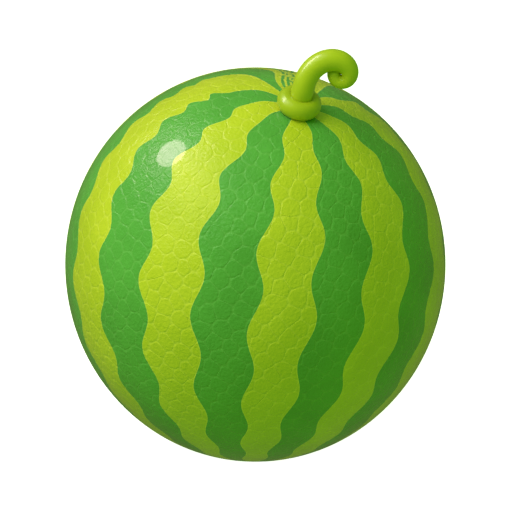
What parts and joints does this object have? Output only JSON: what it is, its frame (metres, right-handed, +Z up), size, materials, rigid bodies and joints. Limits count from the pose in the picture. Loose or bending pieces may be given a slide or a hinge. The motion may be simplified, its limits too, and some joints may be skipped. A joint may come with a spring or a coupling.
{
  "type": "watermelon",
  "caption": "Whole round striped watermelon with a fat ring at its stem end and a short curled stem, resting on a small flat spot.",
  "frame": {"origin": "middle of the flat spot that the melon rests on", "axes": "+Z up through the middle of the fruit; -Y is the front and +X the right, and the stem end leans towards both"},
  "size_m": [0.24, 0.24, 0.2754],
  "materials": {
    "rind": "smooth glossy rind with a fine embossed cell pattern, wavy lime and mid-green stripes from the stem to the blossom end",
    "collar_skin": "smooth glossy yellow-green skin",
    "stem_skin": "smooth glossy yellow-green skin, a little lighter than the collar"
  },
  "bodies": {
    "root": {"fruit": "rind", "stem_collar": "collar_skin", "stem": "stem_skin"}
  },
  "joints": []
}
